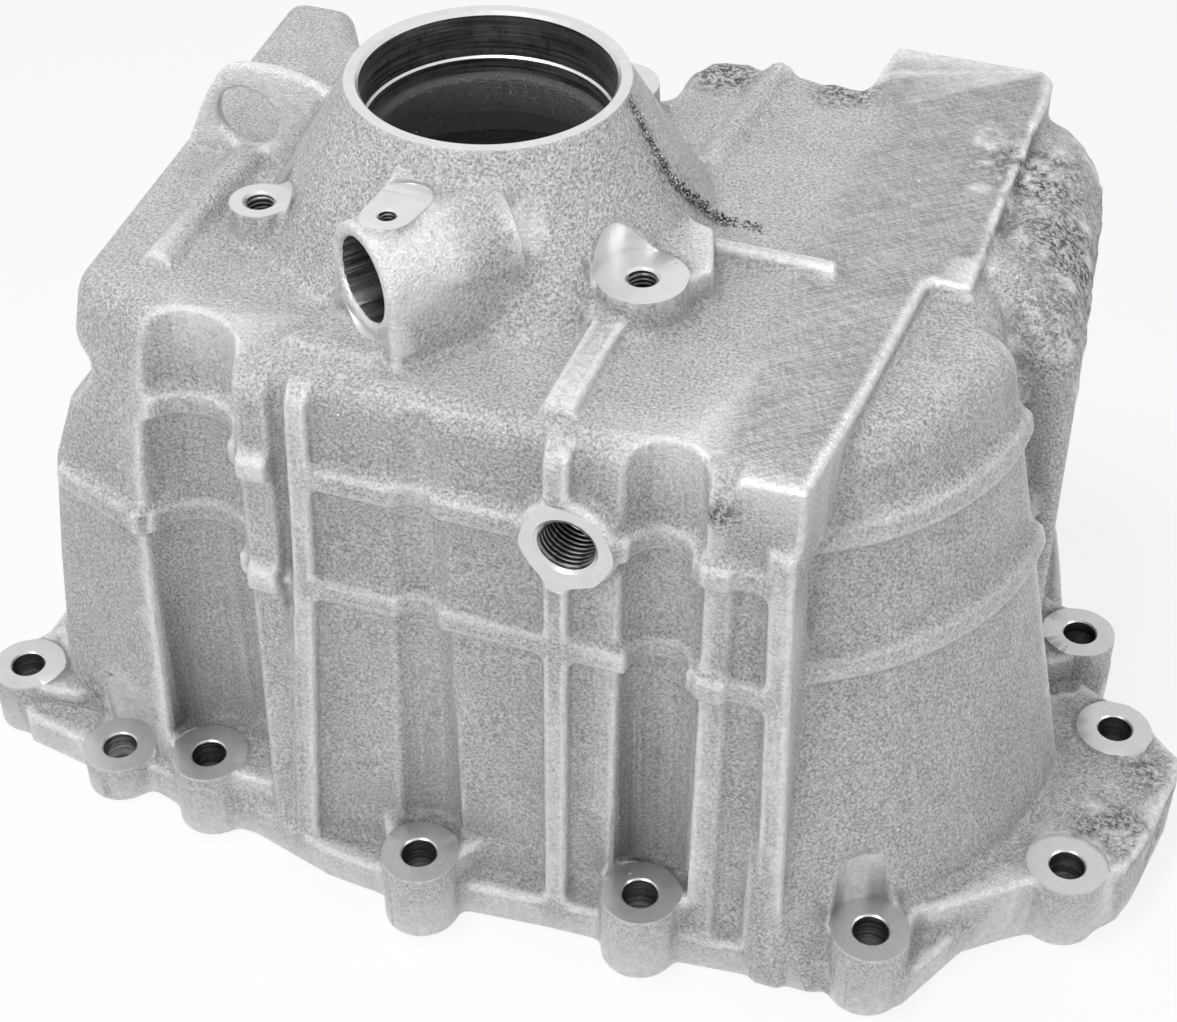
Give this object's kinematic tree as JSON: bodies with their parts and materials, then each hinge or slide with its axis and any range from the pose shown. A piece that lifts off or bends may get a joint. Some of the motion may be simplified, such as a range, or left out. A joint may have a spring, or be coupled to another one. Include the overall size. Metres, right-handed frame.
{
  "type": "gearbox housing",
  "caption": "Die-cast rear gearbox housing: drafted case with a conical output tail, round gear bulge, belts and a lugged joint flange.",
  "frame": {"origin": "centre of the bounding box on the joint face, which the housing stands on", "axes": "+X along the long front wall towards the gear bulge, +Y away from the front wall, +Z along the output shaft towards the tail"},
  "size_m": [0.391, 0.2818, 0.235],
  "materials": {
    "cast_aluminium": "satin"
  },
  "bodies": {
    "root": {"housing": "cast_aluminium"}
  },
  "joints": []
}
